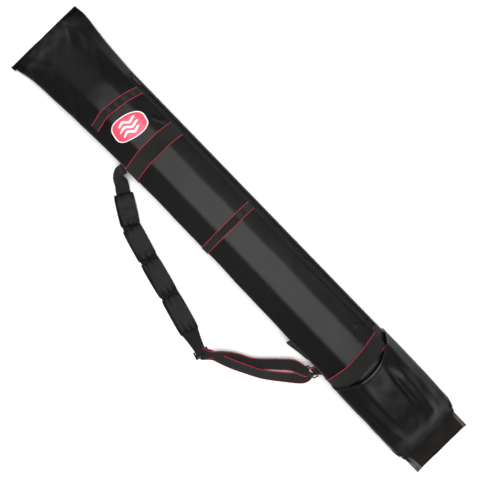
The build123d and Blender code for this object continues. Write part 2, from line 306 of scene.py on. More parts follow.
def fold(x, y, start, end, width, depth):
    """A ridge, or a valley where depth is negative, that fades out along a line."""
    line = np.array(end) - np.array(start)
    length = np.hypot(*line)
    t = ((x - start[0]) * line[0] + (y - start[1]) * line[1]) / length ** 2
    off = ((x - start[0]) * line[1] - (y - start[1]) * line[0]) / length
    fade = smoothstep(-0.12, 0.25, t) * (1 - smoothstep(0.75, 1.12, t))
    return depth * fade * np.exp(-(off / width) ** 2)


# ---------------------------------------------------------------- the case's own surface

class Body:
    """The padded body's outer surface, on a grid along the case and around its section.

    The sections come from the CAD shells. Each is the polygon of tangents to the CAD ellipse,
    with its corners rounded: a flat crest, two flanks and the facet that the zip lies in.
    """

    zip_turn = 30.0
    fewest_vertices = 12        # of a CAD section's outline in the shell's mesh
    sides = (24, 14, 10, 10, 28, 18, 10, 20, 4, 8, 4, 8, 10, 14, 24)

    def __init__(self):
        self.measure()
        zip_low, zip_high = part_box("zip_tape_front")
        self.zip_span = (zip_low.x, zip_high.x)
        self.slot = 11.0 * MM
        step = 4.2 * MM
        start, end = self.rows[0, 0], self.rows[-1, 0]
        x = np.linspace(start, end, int((end - start) / step))
        close = np.array(self.zip_span)
        x = x[np.min(np.abs(x[:, None] - close[None]), axis=1) > 0.3 * step]
        self.x = np.sort(np.concatenate([x, close]))
        self.marks = np.concatenate([[0], np.cumsum(self.sides)])
        self.points = np.array([self.section(v) for v in self.x])
        self.lengths = self.arc_lengths()
        self.shape_cloth()
        self.normals = grid_normals(self.points, wrap=True)

    def measure(self):
        """One row for each CAD section: x, left, right, crest, seam, top, low."""
        shells = [nodes["front_shell"], nodes["back_shell"]]
        trees = [BVHTree.FromPolygons([tuple(v.co) for v in shell.data.vertices],
                                      [tuple(p.vertices) for p in shell.data.polygons])
                 for shell in shells]
        front, back = trees

        def hit(tree, start, direction, axis):
            place = tree.ray_cast(Vector(start), Vector(direction))[0]
            return None if place is None else place[axis]

        under = np.array([v.co for v in shells[1].data.vertices])
        rows = []
        for x in np.unique(np.round(under[:, 0], 4)):
            near = under[np.abs(under[:, 0] - x) < 1e-4]
            seam = near[:, 2].max()
            probe = x + (2e-4 if x < 0 else -2e-4)
            tops = [(hit(front, (probe, y, 1), (0, 0, -1), 2) or 0, y)
                    for y in np.linspace(-0.01, 0.025, 36)]
            lows = [hit(back, (probe, y, -1), (0, 0, 1), 2) for y in (-0.02, 0, 0.02)]
            sides = [hit(back, (probe, side, seam - 3e-4), (0, -side, 0), 1) for side in (-1, 1)]
            if None in lows or None in sides or max(tops)[0] <= seam:
                continue
            # Vertices of the inner face alone, or stray ones between two sections, don't count.
            inside_only = near[:, 1].max() < sides[1] - 0.5 * MM
            if inside_only or len(near) < self.fewest_vertices:
                continue
            top, crest = max(tops)
            rows.append((x, sides[0], sides[1], crest, seam, top, min(lows)))
        self.rows = np.array(rows)

    def values(self, x):
        """The section's sizes at x, rounded off along the case."""
        start, end = self.rows[0, 0], self.rows[-1, 0]
        reach = min(24 * MM, 0.5 * (x - start), 0.5 * (end - x))
        near = x + np.linspace(-1, 1, 9) * reach
        return [float(np.mean(np.interp(near, self.rows[:, 0], c))) for c in self.rows.T[1:]]

    def section(self, x):
        left, right, crest, seam, top, low = self.values(x)
        rise, drop = top - seam, seam - low
        under = min(55 * MM, 0.45 * (right - left))

        def tangents(centre, across, up, one, two):
            middle, half = math.radians((one + two) / 2), math.radians((two - one) / 2)
            scale = math.cos(half)
            return centre + across * math.cos(middle) / scale, seam + up * math.sin(middle) / scale

        across = right - crest
        turn = math.radians(self.zip_turn)
        zip_point = np.array([crest + across * math.cos(turn), seam + rise * math.sin(turn)])
        above = np.array(tangents(crest, across, rise, 60, 30))
        below = np.array(tangents(crest, across, rise, 30, 0))
        facet = (below - above) / np.linalg.norm(below - above)
        room = min(np.linalg.norm(zip_point - above), np.linalg.norm(below - zip_point))
        reach = min(self.slot, 0.8 * room)
        corners = [
            (crest, seam - drop),
            tangents(left + under, under, drop, -90, -135),
            tangents(left + under, under, drop, -135, -180),
            (left, seam),
            tangents(crest, crest - left, rise, 180, 135),
            tangents(crest, crest - left, rise, 135, 90),
            (crest, seam + rise),
            tangents(crest, across, rise, 90, 60),
            above,
            zip_point - facet * reach,
            zip_point + facet * reach,
            below,
            (right, seam),
            tangents(right - under, under, drop, 0, -45),
            tangents(right - under, under, drop, -45, -90),
            (crest, seam - drop),
        ]
        ring = []
        for (a, b), count in zip(zip(corners, corners[1:]), self.sides):
            a, b = np.array(a), np.array(b)
            ring += [a + (b - a) * k / count for k in range(count)]
        ring = np.array(ring)
        for _ in range(9):
            ring = (np.roll(ring, 1, axis=0) + 2 * ring + np.roll(ring, -1, axis=0)) / 4
        return np.column_stack([np.full(len(ring), x), ring])

    def arc_lengths(self):
        """How far each point is from the crest, around its section: plus to the zip side."""
        step = np.linalg.norm(np.diff(self.points, axis=1), axis=2)
        along = np.concatenate([np.zeros((len(self.x), 1)), np.cumsum(step, axis=1)], axis=1)
        return along - along[:, [self.marks[6]]]

    def shape_cloth(self):
        """Pushes the smooth surface in and out where the padded cloth creases and sags."""
        x, s = self.x[:, None], self.lengths
        normals = grid_normals(self.points, wrap=True)
        front = smoothstep(-0.150, -0.125, s) * (1 - smoothstep(0.070, 0.085, s))
        calm = 1 - 0.75 * smoothstep(-0.60, -0.52, x) * (1 - smoothstep(0.42, 0.50, x))
        push = 0.9 * MM * ripple(x, s, 0.16, 3) * front
        push = push + 0.35 * MM * ripple(x, s, 0.045, 5) * front * calm
        tip = 1 - smoothstep(-0.84, -0.58, x)
        push = push + 1.1 * MM * ripple(x * 0.45, s, 0.05, 8) * tip * front
        for start, end, width, depth in (
            ((-0.885, 0.128), (-0.700, 0.075), 0.012, 5.0 * MM),
            ((-0.868, 0.098), (-0.740, 0.050), 0.008, -3.5 * MM),
            ((-0.880, 0.080), (-0.780, 0.035), 0.007, 3.0 * MM),
            ((-0.850, 0.118), (-0.800, 0.090), 0.006, 2.6 * MM),
            ((-0.800, 0.110), (-0.760, 0.078), 0.006, 2.8 * MM),
            ((-0.870, -0.110), (-0.740, -0.070), 0.010, 2.4 * MM),
            ((-0.866, -0.088), (-0.770, -0.050), 0.008, -2.0 * MM),
            ((-0.700, 0.070), (-0.560, 0.078), 0.008, -2.2 * MM),
            ((-0.440, 0.062), (-0.425, 0.085), 0.007, -3.4 * MM),
            ((-0.450, 0.050), (-0.405, 0.078), 0.006, 1.8 * MM),
            ((0.415, 0.038), (0.432, 0.072), 0.006, -2.6 * MM),
            ((0.395, 0.050), (0.418, 0.078), 0.006, 1.6 * MM),
        ):
            push = push + fold(x, s, start, end, width, depth) * front
        push = np.maximum(push, -1.2 * MM) + 1.2 * MM
        push = push + 2.2 * MM * (1 - smoothstep(-0.84, -0.78, x)) * smoothstep(-0.895, -0.86, x)
        self.points = self.points + normals * push[..., None]

    def at(self, x, v, lift=0.0):
        """Points over the surface: x along the case, v its place in the grid's count."""
        x, v = np.broadcast_arrays(np.asarray(x, float), np.asarray(v, float))
        u = np.clip(np.interp(x, self.x, np.arange(len(self.x))), 0, len(self.x) - 1.001)
        i, j = u.astype(int), np.floor(v).astype(int)
        a, b = (u - i)[..., None], (v - j)[..., None]
        columns = self.points.shape[1]

        def mixed(grid):
            near = grid[i, j % columns] * (1 - b) + grid[i, (j + 1) % columns] * b
            far = grid[i + 1, j % columns] * (1 - b) + grid[i + 1, (j + 1) % columns] * b
            return near * (1 - a) + far * a

        normal = mixed(self.normals)
        return mixed(self.points) + normal * np.asarray(lift)[..., None]

    def column(self, x, s):
        """The grid's count at an arc length s from the crest."""
        x, s = np.broadcast_arrays(np.asarray(x, float), np.asarray(s, float))
        u = np.clip(np.interp(x, self.x, np.arange(len(self.x))), 0, len(self.x) - 1.001)
        i = u.astype(int)
        columns = np.arange(self.lengths.shape[1])
        flat = [
            (1 - f) * np.interp(d, self.lengths[k], columns) + f * np.interp(d, self.lengths[k + 1], columns)
            for k, f, d in zip(i.ravel(), (u - i).ravel(), s.ravel())
        ]
        return np.array(flat).reshape(x.shape)

    def cloth_coordinates(self):
        return np.stack([np.broadcast_to(self.x[:, None], self.lengths.shape), self.lengths], axis=2)


body = Body()


def build_panels():
    """The front and back panels of the case, split at the side seams and open at the zip."""
    marks = body.marks
    columns = body.points.shape[1]
    inner = body.points - body.normals * FABRIC
    where = body.cloth_coordinates()
    middle_x = (body.x[1:] + body.x[:-1]) / 2
    column = np.arange(columns)
    is_front = (column >= marks[3]) & (column < marks[12])
    in_slot = (column >= marks[9]) & (column < marks[10])
    zipped = (middle_x > body.zip_span[0]) & (middle_x < body.zip_span[1])
    front = np.broadcast_to(is_front, (len(middle_x), columns)) & ~(zipped[:, None] & in_slot[None])
    back = np.broadcast_to(~is_front, (len(middle_x), columns))
    for name, mask, replaced in (
        ("front_panel", front, "front_shell"),
        ("back_panel", back, "back_shell"),
    ):
        panel = thick_sheet(name, body.points, inner, SHELL, where, mask, wrap=True)
        dress(panel, "case", "shell_fabric", replaced)


def dress(piece, rides_on, slot, *replaced):
    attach(piece, rides_on)
    if replaced:
        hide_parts(*replaced)
    return piece


def patch(name, x, v, lift, thickness, material):
    """A sheet laid on the body over grids of x and v, at a height over its surface."""
    x, v, lift = np.broadcast_arrays(x, v, lift)
    outer = body.at(x, v, lift + thickness)
    inner = body.at(x, v, lift)
    across = np.linalg.norm(np.diff(outer, axis=1), axis=2)
    s = np.concatenate([np.zeros((len(x), 1)), np.cumsum(across, axis=1)], axis=1)
    return thick_sheet(name, outer, inner, material, np.stack([x, s], axis=2))


# ---------------------------------------------------------------- bands of webbing

BANDS = {
    # where it starts around the section, how far it drifts along the case past its kink, and
    # where its bar tacks are sewn, as shares of its length
    "narrow_band_upper": (67, 0.36, 13.0 * MM, (0.40, 0.55, 0.70, 0.86)),
    "wide_band_upper": (42, 0.0, -1.0 * MM, ()),
    "narrow_band_middle": (42, 0.0, -2.0 * MM, (0.09, 0.80, 0.92)),
    "wide_band_lower": (42, 0.3, -12.0 * MM, ()),
}


def build_bands():
    for name in BANDS:
        low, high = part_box(name)
        first, kink, drift, tacks = BANDS[name]
        v = np.linspace(first, body.marks[8] + 1.5, 120)
        part = (v - v[0]) / (v[-1] - v[0])
        across = np.linspace(0, 1, 13)[:, None]
        shift = drift * np.clip((part - kink) / (1 - kink), 0, 1)
        x = low.x + (high.x - low.x) * across + shift[None]
        edge = 0.25 * MM * np.cos(math.tau * across)
        band = patch(name + "_web", x, v[None], 0.3 * MM + edge, WEB_THICKNESS, WEBBING)
        dress(band, "case", "webbing", name)
        strips = []
        for side, centre in ((-1, x[0]), (1, x[-1])):
            if name == "wide_band_lower" and side == 1:
                shown = v >= body.marks[7] + 12
            else:
                shown = np.ones(len(v), bool)
            t = np.linspace(-1, 1, 7)[:, None]
            strip_x = centre[shown][None] + t * PIPING / 2
            lift = 0.5 * MM + WEB_THICKNESS + 0.7 * MM * np.sqrt(1 - 0.9 * t ** 2)
            strips.append(patch("strip", strip_x, v[shown][None], lift - 1.2 * MM, 1.2 * MM, RED))
        piping = join(strips, name + "_red_edges")
        dress(piping, "case", "red_trim", name + "_piping")
        blocks = []
        for share in tacks:
            near = np.linspace(share - 0.035, share + 0.035, 7)
            block_v = np.interp(near, part, v)
            inset = np.linspace(0.16, 0.84, 9)[:, None]
            block_x = low.x + (high.x - low.x) * inset + np.interp(near, part, shift)[None]
            blocks.append(patch("tack", block_x, block_v[None], 1.6 * MM, 0.9 * MM, THREAD))
        if blocks:
            dress(join(blocks, name + "_bar_tacks"), "case", "webbing")


def join(pieces, name):
    bpy.ops.object.select_all(action="DESELECT")
    for piece in pieces:
        piece.select_set(True)
    bpy.context.view_layer.objects.active = pieces[0]
    if len(pieces) > 1:
        bpy.ops.object.join()
    pieces[0].name = name
    pieces[0].data.name = name
    pieces[0].select_set(False)
    return pieces[0]


# ---------------------------------------------------------------- badge

BADGE_TURN = 13.0


def rounded_square(radial, turn, size, power):
    """A point of a rounded oblong, from its share of the way out and its direction."""
    c, s = np.cos(turn), np.sin(turn)
    reach = (np.abs(c) ** power + np.abs(s) ** power) ** (-1 / power)
    across, along = radial * reach * c * size[0] / 2, radial * reach * s * size[1] / 2
    return across, along * (1 - 0.28 * (across / (size[0] / 2)) ** 2)


def on_badge(place, across, along):
    """Where a point of the turned badge lies: its x and its arc length from the crest."""
    tilt = math.radians(BADGE_TURN)
    x = place[0] + along * math.cos(tilt) + across * math.sin(tilt)
    s = place[1] + across * math.cos(tilt) - along * math.sin(tilt)
    return x, s


def badge_sheet(name, radii, lifts, material, size, place):
    """A ring or disc of the badge, on the body's surface. Its radii run inwards."""
    turn = np.linspace(0, math.tau, 97)[None]
    radial = np.array(radii)[:, None]
    across, along = rounded_square(radial, turn, size, 4.0)
    x, s = on_badge(place, across, along)
    v = body.column(x, s)
    outer = body.at(x, v, np.array(lifts)[:, None])
    inner = body.at(x, v, 0.1 * MM)
    return thick_sheet(name, outer, inner, material, np.stack([x, s], axis=2))


def build_badge():
    low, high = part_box("badge_rim")
    place = ((low.x + high.x) / 2 + 0.005, (low.y + high.y) / 2 - 0.018)
    size = (0.112, 0.072)
    rim = badge_sheet(
        "badge_border", (1.0, 0.99, 0.955, 0.93, 0.92),
        (0.5 * MM, 2.0 * MM, 2.3 * MM, 2.1 * MM, 1.0 * MM), BADGE_PALE, size, place)
    dress(rim, "case", "badge_border", "badge_rim")
    field = badge_sheet(
        "badge_field", (0.92, 0.905, 0.6, 0.3, 0.001),
        (1.2 * MM, 1.6 * MM, 1.7 * MM, 1.8 * MM, 1.8 * MM), BADGE_RED, size, place)
    dress(field, "case", "badge_red", "badge_patch")
    waves = []
    for k, height in enumerate((-0.34, 0.0, 0.34)):
        t = np.linspace(-1, 1, 60)[None]
        width = np.linspace(-1, 1, 5)[:, None]
        reach = 0.29 * (1 - 0.12 * abs(k - 1))
        across = size[0] * reach * t
        swell = 0.0042 * np.sin(t * math.pi * 1.5 + 0.4)
        taper = np.sqrt(np.clip(1 - t ** 4, 0.02, 1))
        along = size[1] * height * 0.62 + swell + width * 0.0036 * taper
        x, s = on_badge(place, across, along)
        waves.append(patch("wave", x, body.column(x, s), 1.3 * MM, 0.95 * MM, BADGE_PALE))
    dress(join(waves, "badge_waves"), "case", "badge_border")


# ---------------------------------------------------------------- butt pocket

MOUTH_RADIUS = 195 * MM
MOUTH_CENTRE = (333 * MM, -5 * MM)


def pocket_gap(x, s):
    """How far the pocket stands off the body: gaping at its mouth, shut at its seams."""
    mouth = MOUTH_CENTRE[0] + MOUTH_RADIUS
    closing = 1 - smoothstep(mouth, mouth + 0.27, x)
    middle = np.cos(np.clip(s / 0.16, -1, 1) * math.pi / 2)
    return 1.2 * MM + 9.0 * MM * closing * middle ** 1.3


def build_pocket():
    first, last = body.marks[3] - 3, body.marks[12] + 3
    v = np.linspace(first, last, 150)[None]
    end = body.x[-1] - 4 * MM
    t = np.linspace(0, 1, 76)[:, None]
    y = body.at(np.full(v.shape, 0.53), v)[..., 1]
    offset = np.clip(np.abs(y - MOUTH_CENTRE[1]), 0, 0.95 * MOUTH_RADIUS)
    start = MOUTH_CENTRE[0] + np.sqrt(MOUTH_RADIUS ** 2 - offset ** 2)
    x = start + (end - start) * t
    s = np.interp(v, np.arange(body.lengths.shape[1]), body.lengths[np.searchsorted(body.x, 0.65)])
    s = np.broadcast_to(s, x.shape)
    lift = pocket_gap(x, s)
    middle = np.cos(np.clip(s / 0.15, -1, 1) * math.pi / 2)
    lift = lift + 0.8 * MM * ripple(x * 0.7, s, 0.08, 21) * middle
    for a, b, width, depth in (
        ((0.560, 0.060), (0.800, 0.050), 0.016, 7.0 * MM),
        ((0.550, 0.034), (0.750, 0.026), 0.008, -5.0 * MM),
        ((0.530, -0.052), (0.800, -0.050), 0.016, 3.0 * MM),
        ((0.600, -0.090), (0.800, -0.086), 0.014, -2.0 * MM),
        ((0.520, -0.104), (0.800, -0.100), 0.004, 0.8 * MM),
    ):
        lift = lift + fold(x, s, a, b, width, depth)
    sewn = 1.4 * MM
    lift = sewn + np.maximum(lift - sewn, 0) * (1 - smoothstep(0.74, 0.83, x))
    pocket = patch("butt_pocket", x, v, lift, 0.9 * MM, POCKET)
    dress(pocket, "case", "pocket_fabric", "pocket_panel")

    hem_t = np.linspace(0, 1, 9)[:, None]
    hem_x = start - 1.0 * MM + hem_t * 11 * MM
    rolled = 1.1 * MM * np.sin(np.clip(hem_t * 1.25, 0, 1) * math.pi) ** 0.6
    rolled = rolled * (0.25 + 0.75 * middle[0][None])
    hem_lift = lift[0][None] + rolled + 0.3 * MM
    hem = patch("pocket_mouth_hem", hem_x, v, hem_lift, 0.9 * MM, POCKET)
    dress(hem, "case", "pocket_fabric", "pocket_hem")


# ---------------------------------------------------------------- ends of the case

def build_tip():
    """The turned seam across the flat tip end, wrapped over both panels."""
    low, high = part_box("tip_binding")
    seam = (low.z + high.z) / 2
    y = np.linspace(low.y, high.y, 120)[None]
    turn = np.linspace(-math.pi / 2, math.pi / 2, 13)[:, None]
    edge = high.x - 0.5 * MM
    wave = 1.2 * MM * ripple(0.1, y, 0.09, 31)
    lip_x = np.full(y.shape[1], edge + 5 * MM)
    lip_low = np.stack([lip_x, y[0], seam - 6.0 * MM + wave[0]], axis=1)
    lip_high = np.stack([lip_x, y[0], seam + 6.4 * MM + wave[0]], axis=1)
    x_out = edge - 1.5 * MM - 3.2 * MM * np.cos(turn)
    z_out = seam + 3.4 * MM * np.sin(turn) + wave
    arc = np.stack(np.broadcast_arrays(x_out, y, z_out), axis=2)
    outer = np.concatenate([lip_low[None], arc, lip_high[None]])
    normals = grid_normals(outer)
    inner = outer + normals * 0.9 * MM
    where = np.stack([outer[..., 0] + outer[..., 2], outer[..., 1]], axis=2)
    binding = thick_sheet("tip_seam", outer, inner, SHELL, where)
    dress(binding, "case", "shell_fabric", "tip_binding")


def build_end_foam():
    """The folded foam in the two ends, as the cloth over it squeezes it."""
    squeeze = 3.5 * MM
    columns = body.points.shape[1]
    for name in ("tip_pad", "butt_pad"):
        low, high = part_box(name)
        x = np.linspace(low.x + squeeze, high.x - squeeze, 24)[:, None]
        v = np.arange(0, columns, 2)[None]
        rings = body.at(x, v, -squeeze)
        points = rings.reshape(-1, 3)
        foam = make_object(name + "_foam", points, tube_faces(*rings.shape[:2]), FOAM, points[:, :2])
        dress(foam, "case", "foam", name)


def build_base():
    """The flat panel past the padded body, with its end binding and its corner gussets."""
    low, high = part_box("base_panel")
    edge_low, edge_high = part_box("base_binding")
    x = np.linspace(low.x - 6 * MM, edge_high.x - 1 * MM, 24)[:, None]
    y = np.linspace(low.y - 2 * MM, high.y + 2 * MM, 90)[None]
    part = (x - x[0]) / (x[-1] - x[0])
    level = low.z + 2.5 * MM + 5.5 * MM * (1 - part) ** 2
    level = level + 0.8 * MM * ripple(x, y, 0.06, 41)
    top = np.stack(np.broadcast_arrays(x, y, level), axis=2)
    under = top - np.array([0, 0, 2.2 * MM])
    panel = thick_sheet("base_flap", top, under, BASE, top[..., :2])
    dress(panel, "case", "panel_fabric", "base_panel")

    y = np.linspace(edge_low.y, edge_high.y, 90)[None]
    turn = np.linspace(-0.6 * math.pi, 0.6 * math.pi, 13)[:, None]
    x = edge_high.x - 3.2 * MM + 3.0 * MM * np.cos(turn)
    z = low.z + 1.6 * MM + 2.6 * MM * np.sin(turn) + 0.5 * MM * ripple(0.2, y, 0.05, 43)
    outer = np.stack(np.broadcast_arrays(x, y, z), axis=2)
    inner = outer + grid_normals(outer) * 0.8 * MM
    hem = thick_sheet("base_end_hem", outer, inner, BASE, outer[..., 1:])
    dress(hem, "case", "panel_fabric", "base_binding")

    for name, side in (("left", -1), ("right", 1)):
        build_gusset(name, side, edge_high.x)


def build_gusset(name, side, end):
    """A shiny fold of gusset cloth down a butt corner, from the side seam to the end. Its pale grey cloth
    colour is a painted highlight of that shine.
    """
    start = end - 0.155
    t = np.linspace(0, 1, 70)[:, None]
    w = np.linspace(0, 1, 26)[None]
    x, w = np.broadcast_arrays(start + (end - 1.5 * MM - start) * t, w)
    # The fold lies on the pocket's cloth, and comes down to the flat panel past the body.
    seam_v = body.marks[3] if side < 0 else body.marks[12]
    width = (3 + (19 if side < 0 else 11) * smoothstep(0, 0.95, t)) * MM
    pleats = 1.3 * MM * np.cos(w * math.tau * 2.2 + 2.2 * t) * smoothstep(0, 0.3, t)
    pleats = pleats + 0.6 * MM * ripple(x, w * 0.03, 0.035, 51)
    on_body = np.minimum(x, body.x[-1] - 1 * MM)
    seam_s = np.interp(on_body, body.x, body.lengths[:, seam_v])
    v = body.column(on_body, seam_s - side * width * (1 - w))
    laid = body.at(on_body, v, 4.2 * MM + pleats)
    edge = 0.1075 + 1.5 * MM
    flat = np.stack([x, side * (edge - width * (1 - w) - 1.5 * MM * t * w), 8.0 * MM + pleats], axis=2)
    past = smoothstep(body.x[-1] - 0.03, body.x[-1] + 0.01, x)[..., None]
    outer = laid * (1 - past) + flat * past
    under = outer - np.array([0, 0, 1.4 * MM])
    if side < 0:
        outer, under = outer[:, ::-1], under[:, ::-1]
    # The grey gusset cloth paints the fold's highlight.
    flap = thick_sheet("gusset_fold_" + name, outer, under, GUSSET_PAINTED_HIGHLIGHT, outer[..., :2])
    dress(flap, "case", "gusset_fabric", "base_gusset_" + name)


# ---------------------------------------------------------------- zip

def build_zip_teeth():
    """Nylon coil on both sides of the zip: rounded teeth, one beside the other."""
    pitch = 2.0 * MM
    for name in ("front", "back"):
        tooth = nodes["zip_teeth_" + name]
        co = np.array([v.co for v in tooth.data.vertices])
        low, high = co.min(0), co.max(0)
        centre = (low + high) / 2
        across = np.array([0, 0.7107, -0.7035])
        outward = np.array([0, 0.7035, 0.7107])
        points, faces, where = [], [], []
        count = int((high[0] - low[0]) / pitch)
        half = 0.95 * MM
        for k in range(count):
            x = low[0] + (k + 0.5) * pitch
            base = len(points)
            for a, r in ((-1.0, 0.55), (-0.4, 0.85), (0.4, 0.85), (1.0, 0.55)):
                for turn in np.arange(6) * math.pi / 3:
                    place = centre + across * a * half
                    place = place + outward * (math.sin(turn) * r * 0.88 * MM)
                    points.append((x + math.cos(turn) * r * 0.9 * MM, place[1], place[2]))
                    where.append((x, a * half))
            faces += tube_faces(4, 6, base)
        coil = make_object("zip_coil_" + name, points, faces, COIL, np.array(where))
        dress(coil, "case", "zip_teeth", "zip_teeth_" + name)


# ---------------------------------------------------------------- stitching

def stitches(name, line, material, rides_on, slot, long=3.4 * MM, gap=1.4 * MM, thick=0.45 * MM):
    """A row of short threads along a line of points, each sunk at both ends."""
    line = np.asarray(line, float)
    step = np.linalg.norm(np.diff(line, axis=0), axis=1)
    along = np.concatenate([[0], np.cumsum(step)])
    starts = np.arange(0, along[-1] - long, long + gap)
    points, faces, where = [], [], []
    for begin in starts:
        t = begin + np.array([0, 0.2, 0.5, 0.8, 1.0]) * long
        centre = np.stack([np.interp(t, along, line[:, k]) for k in range(3)], axis=1)
        direction = centre[-1] - centre[0]
        direction /= np.linalg.norm(direction)
        side = np.cross(direction, (0.03, 0.02, 1.0))
        side /= np.linalg.norm(side)
        up = np.cross(side, direction)
        base = len(points)
        for c, r in zip(centre, (0.35, 0.9, 1.0, 0.9, 0.35)):
            for turn in np.arange(6) * math.pi / 3:
                points.append(c + thick * r * (math.cos(turn) * side + math.sin(turn) * up))
                where.append((begin + turn * thick, r * thick))
        faces += tube_faces(5, 6, base)
    row = make_object(name, points, faces, material, np.array(where))
    return dress(row, rides_on, slot)


def build_stitching():
    zip_x = np.linspace(body.zip_span[0] + 2 * MM, body.zip_span[1] - 2 * MM, 500)
    for name, v in (("upper", body.marks[9] - 1.6), ("lower", body.marks[10] + 1.6)):
        stitches("zip_stitching_" + name, body.at(zip_x, v, 0.25 * MM), THREAD, "case", "shell_fabric")
    seam_x = np.linspace(body.x[0] + 0.02, 0.48, 700)
    stitches("strap_side_stitching", body.at(seam_x, body.marks[3] + 2.5, 0.25 * MM), THREAD,
             "case", "shell_fabric")
    panel_x = np.linspace(body.x[0] + 0.02, 0.47, 700)
    stitches("zip_panel_stitching", body.at(panel_x, body.marks[8] + 0.4, 0.25 * MM), THREAD,
             "case", "shell_fabric")


# ---------------------------------------------------------------- shoulder strap

def smooth_path(points, per_run=14):
    """A soft line through given points: x, y, z and the cloth's roll in degrees."""
    p = np.array(points, float)
    p = np.concatenate([[2 * p[0] - p[1]], p, [2 * p[-1] - p[-2]]])
    out = []
    for k in range(1, len(p) - 2):
        a, b, c, d = p[k - 1], p[k], p[k + 1], p[k + 2]
        for t in np.arange(per_run) / per_run:
            out.append(0.5 * (2 * b + (c - a) * t + (2 * a - 5 * b + 4 * c - d) * t ** 2
                              + (3 * b - a - 3 * c + d) * t ** 3))
    out.append(p[-2])
    return np.array(out)


def ribbon_frame(path):
    """The line of a ribbon, its direction across and its direction out of the cloth."""
    centre, roll = path[:, :3], np.radians(path[:, 3])
    along = np.gradient(centre, axis=0)
    along /= np.linalg.norm(along, axis=1, keepdims=True)
    level = np.cross((0, 0, 1.0), along)
    level /= np.maximum(np.linalg.norm(level, axis=1, keepdims=True), 1e-9)
    up = np.cross(along, level)
    across = level * np.cos(roll)[:, None] + up * np.sin(roll)[:, None]
    out = np.cross(along, across)
    return centre, across, out


def webbing(name, points, width, material=WEBBING, thickness=WEB_THICKNESS, narrow=None):
    """A flat strap along a soft line, with red woven edges as a second piece."""
    path = smooth_path(points)
    centre, across, out = ribbon_frame(path)
    length = np.concatenate([[0], np.cumsum(np.linalg.norm(np.diff(centre, axis=0), axis=1))])
    half = np.full(len(centre), width / 2)
    if narrow is not None:
        half = half * np.interp(np.linspace(0, 1, len(half)), *narrow)
    t = np.linspace(-1, 1, 15)[None, :, None]
    middle = centre[:, None] + across[:, None] * half[:, None, None] * t
    where = np.stack(np.broadcast_arrays(length[:, None], half[:, None] * t[..., 0]), axis=2)
    lift = out[:, None] * thickness / 2
    strap = thick_sheet(name, middle + lift, middle - lift, material, where)
    edges = []
    for side in (-1, 1):
        t = np.linspace(0, 1, 5)[None, :, None]
        line = centre + across * side * (half - PIPING / 2)[:, None]
        grid = line[:, None] + across[:, None] * side * (t - 0.5) * PIPING
        round_off = np.sqrt(1 - 0.8 * (2 * t - 1) ** 2)
        rise = out[:, None] * (thickness / 2 + 0.45 * MM * round_off)
        spread = np.stack(np.broadcast_arrays(length[:, None], t[..., 0] * PIPING), axis=2)
        top, under = grid + rise, grid - rise
        if side < 0:
            top, under, spread = top[:, ::-1], under[:, ::-1], spread[:, ::-1]
        edges.append(thick_sheet(name + "_edge", top, under, RED, spread))
    return strap, join(edges, name + "_red_edges")


def pad_frame(name):
    """The centre, direction and size of one CAD pad, from its own mesh."""
    co = np.array([v.co for v in nodes[name].data.vertices])
    low, high = co.min(0), co.max(0)
    plan = co[:, :2] - co[:, :2].mean(0)
    vectors = np.linalg.eigh(plan.T @ plan)[1]
    along = vectors[:, 1] * (1 if vectors[0, 1] > 0 else -1)
    across = np.array([-along[1], along[0]])
    centre = (low + high) / 2
    return centre, along, across, np.ptp(co[:, :2] @ along), np.ptp(co[:, :2] @ across), high[2] - low[2]


def build_pads():
    """Four stuffed pads in one sleeve: crowned, pulled in and puckered at each seam."""
    for k in range(1, 5):
        name = f"shoulder_pad_{k}"
        centre, along, across, long, wide, high = pad_frame(name)
        rings, round_count = 56, 64
        t = np.linspace(-1, 1, rings)[:, None]
        turn = np.linspace(0, math.tau, round_count, endpoint=False)[None]
        end = np.clip(1 - np.abs(t) ** 3.2, 0, 1)
        plump = 0.22 + 0.78 * end ** 0.55
        close = np.where(np.abs(t) > 0.999, 0.02, 1.0)
        c, s = np.cos(turn), np.sin(turn)
        square = (np.abs(c) ** 2.5 + np.abs(s) ** 2.5) ** (-1 / 2.5)
        half_wide = wide / 2 * (0.90 + 0.10 * end ** 0.4)
        pucker = 1.3 * MM * (1 - end ** 1.5) * np.cos(turn * 11 + 1.7 * k) * (np.abs(t) < 0.995)
        sag = 0.8 * MM * ripple(t * long / 2 + k, s * wide / 2, 0.035, 60 + k)
        local_y = half_wide * c * square * close
        slope = np.where(s > 0, 1.22 - 0.9 * np.clip((c + 0.8) / 1.7, 0, 1), 1.0)
        local_z = (high / 2 * plump * s * square * slope) * close
        local_z = local_z + (pucker + sag * (s > 0)) * (np.abs(s) + 0.2) * close
        local_z = local_z + 1.8 * MM * np.exp(-((c + 0.7) / 0.2) ** 2) * (s > 0) * end
        local_z = np.maximum(local_z, -high / 2 * (0.55 + 0.45 * end))
        local_x = (long / 2 + 1.5 * MM) * t + 0 * turn + 0.9 * MM * np.sin(turn * 7 + k) * (1 - end)
        x = centre[0] + along[0] * local_x + across[0] * local_y
        y = centre[1] + along[1] * local_x + across[1] * local_y
        z = centre[2] + local_z
        grid = np.stack([x, y, z], axis=2)
        around = np.broadcast_to(turn * wide / 3.2, local_x.shape)
        where = np.stack([local_x, around], axis=2).reshape(-1, 2)
        faces = tube_faces(rings, round_count)
        pad = make_object(f"strap_pad_{k}", grid.reshape(-1, 3), faces, PAD, where)
        dress(pad, "strap", "strap_pad", name)


def pad_line():
    """The ends of the four pads, in order along the strap."""
    ends = []
    for k in range(1, 5):
        centre, along, _, long, _, _ = pad_frame(f"shoulder_pad_{k}")
        ends.append((centre[:2] - along * long / 2, centre[:2] + along * long / 2))
    line = [ends[0][0]]
    line += [(a[1] + b[0]) / 2 for a, b in zip(ends, ends[1:])]
    return line + [ends[-1][1]]


